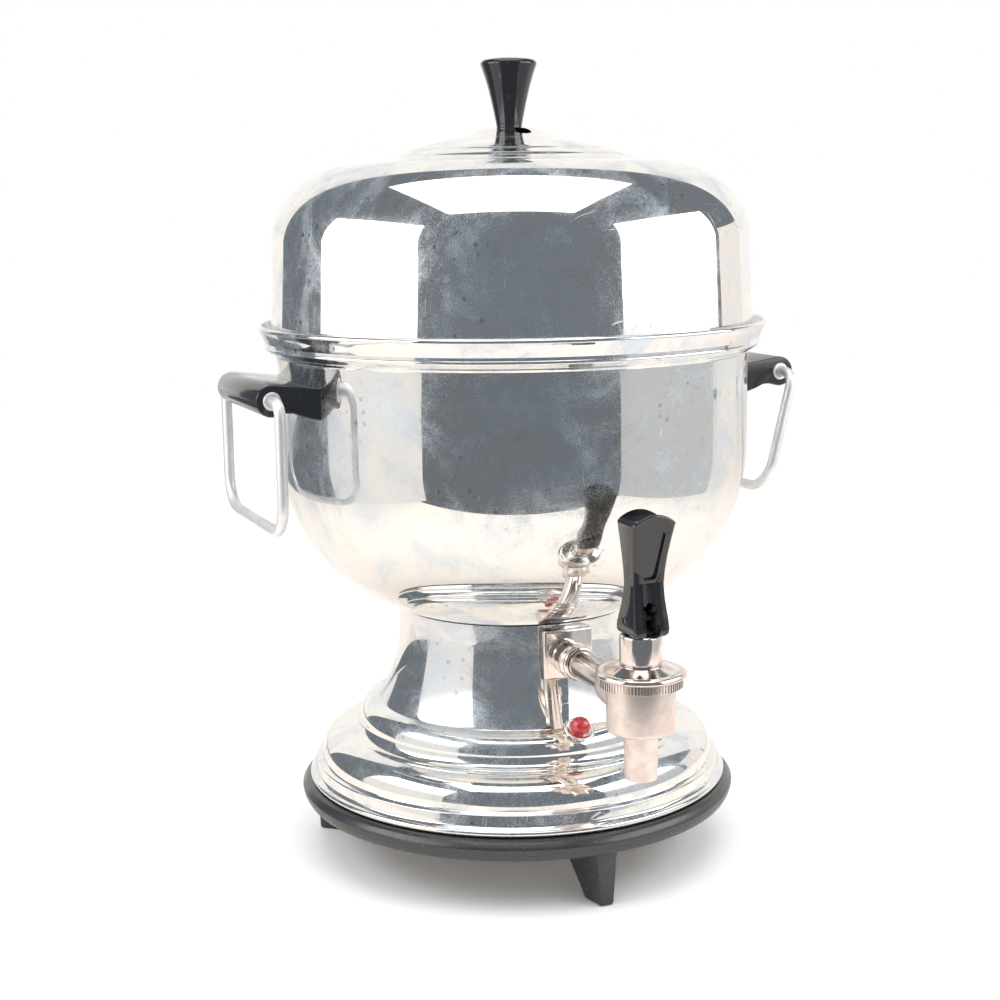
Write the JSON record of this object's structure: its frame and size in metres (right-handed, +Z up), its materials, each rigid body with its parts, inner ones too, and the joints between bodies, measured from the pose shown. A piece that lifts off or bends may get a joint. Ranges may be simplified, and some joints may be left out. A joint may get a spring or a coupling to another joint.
{
  "type": "electric coffee urn",
  "caption": "Polished steel electric percolator urn: domed lid with knob, bowl with wire bails, stepped pedestal on a legged ring, lever tap and pilot lamp.",
  "frame": {"origin": "on the floor, at the middle of the overall width and length; the urn's own axis stands 19.9 mm behind it because the tap reaches out in front", "axes": "+Z up, -Y towards the side with the tap, X across the two bails"},
  "size_m": [0.343, 0.3448, 0.479],
  "materials": {
    "polished_steel": "mirror-polished stainless steel, finely scratched and smudged",
    "plain_steel": "plain machined steel",
    "nickel_plate": "warm nickel plate, softly polished",
    "bright_wire": "bright drawn wire",
    "black_phenolic": "glossy black moulding",
    "satin_phenolic": "satin black moulding, faintly speckled",
    "spun_aluminium": "spun, dull",
    "brass_metal": "machined brass",
    "rubber": "moulded rubber",
    "red_lens": "clear red faceted lens",
    "lead_sleeve": "woven heat-proof sleeve"
  },
  "bodies": {
    "lid": {"lid_shell": "polished_steel", "lid_knob": "black_phenolic", "knob_screw": "plain_steel", "knob_washer": "plain_steel"},
    "base": {"vessel": "polished_steel", "pedestal": "polished_steel", "foot_ring": "satin_phenolic", "foot_front": "satin_phenolic", "foot_right": "satin_phenolic", "foot_left": "satin_phenolic", "bottom_cover": "plain_steel", "cover_screw_a": "plain_steel", "cover_screw_b": "plain_steel", "cover_screw_c": "plain_steel", "heater_plate": "spun_aluminium", "heating_element": "plain_steel", "heater_clamp": "plain_steel", "thermostat": "black_phenolic", "tie_stud": "plain_steel", "tie_nut": "plain_steel", "lead_thermostat": "lead_sleeve", "lead_element": "lead_sleeve", "lamp_bezel": "polished_steel", "lamp_lens": "red_lens", "lamp_housing": "black_phenolic", "inlet_shroud": "black_phenolic", "inlet_pin_left": "brass_metal", "inlet_pin_right": "brass_metal", "bracket_left": "black_phenolic", "bracket_right": "black_phenolic", "ferrule_left_front": "bright_wire", "ferrule_left_rear": "bright_wire", "ferrule_right_front": "bright_wire", "ferrule_right_rear": "bright_wire", "bracket_screw_left_front": "plain_steel", "bracket_screw_left_rear": "plain_steel", "bracket_screw_right_front": "plain_steel", "bracket_screw_right_rear": "plain_steel", "tap_escutcheon": "nickel_plate", "tap_shank": "nickel_plate", "shank_gasket": "rubber", "shank_nut": "brass_metal", "coupling_nut": "nickel_plate", "tap_body": "nickel_plate", "tap_bonnet": "nickel_plate", "tap_sleeve": "nickel_plate", "valve_spring": "plain_steel"},
    "bail_left": {"bail_left": "bright_wire"},
    "bail_right": {"bail_right": "bright_wire"},
    "percolator": {"pump_base": "spun_aluminium", "pump_tube": "spun_aluminium", "basket": "spun_aluminium", "basket_cover": "spun_aluminium"},
    "tap_stem": {"tap_stem": "nickel_plate", "seat_cup": "rubber"},
    "tap_lever": {"tap_lever": "black_phenolic", "lever_pin": "plain_steel"}
  },
  "joints": [
    {"name": "lid_lift", "type": "slide", "parent": "base", "child": "lid", "axis": [0, 0, 1], "range_m": [0, 0.5]},
    {"name": "insert_lift", "type": "slide", "parent": "base", "child": "percolator", "axis": [0, 0, 1], "range_m": [0, 0.25]},
    {"name": "bail_left_swing", "type": "hinge", "parent": "base", "child": "bail_left", "pos_m": [-0.1625, 0.0199, 0.2898], "axis": [0, 1, 0], "range_deg": [-17, 175]},
    {"name": "bail_right_swing", "type": "hinge", "parent": "base", "child": "bail_right", "pos_m": [0.1625, 0.0199, 0.2898], "axis": [0, -1, 0], "range_deg": [-2.5, 189]},
    {"name": "stem_lift", "type": "slide", "parent": "base", "child": "tap_stem", "axis": [0, 0, 1], "range_m": [0, 0.0043], "stiffness_N_per_m": 900, "springref_m": -0.006, "deforming": ["valve_spring"]},
    {"name": "lever_tilt", "type": "hinge", "parent": "tap_stem", "child": "tap_lever", "pos_m": [0, -0.1478, 0.1775], "axis": [1, 0, 0], "range_deg": [0, 24]}
  ],
  "couplings": [
    {"joint": "insert_lift", "follows": "lid_lift", "ratio": 0.5},
    {"joint": "lever_tilt", "follows": "stem_lift", "rad_per_m": 95.24}
  ]
}
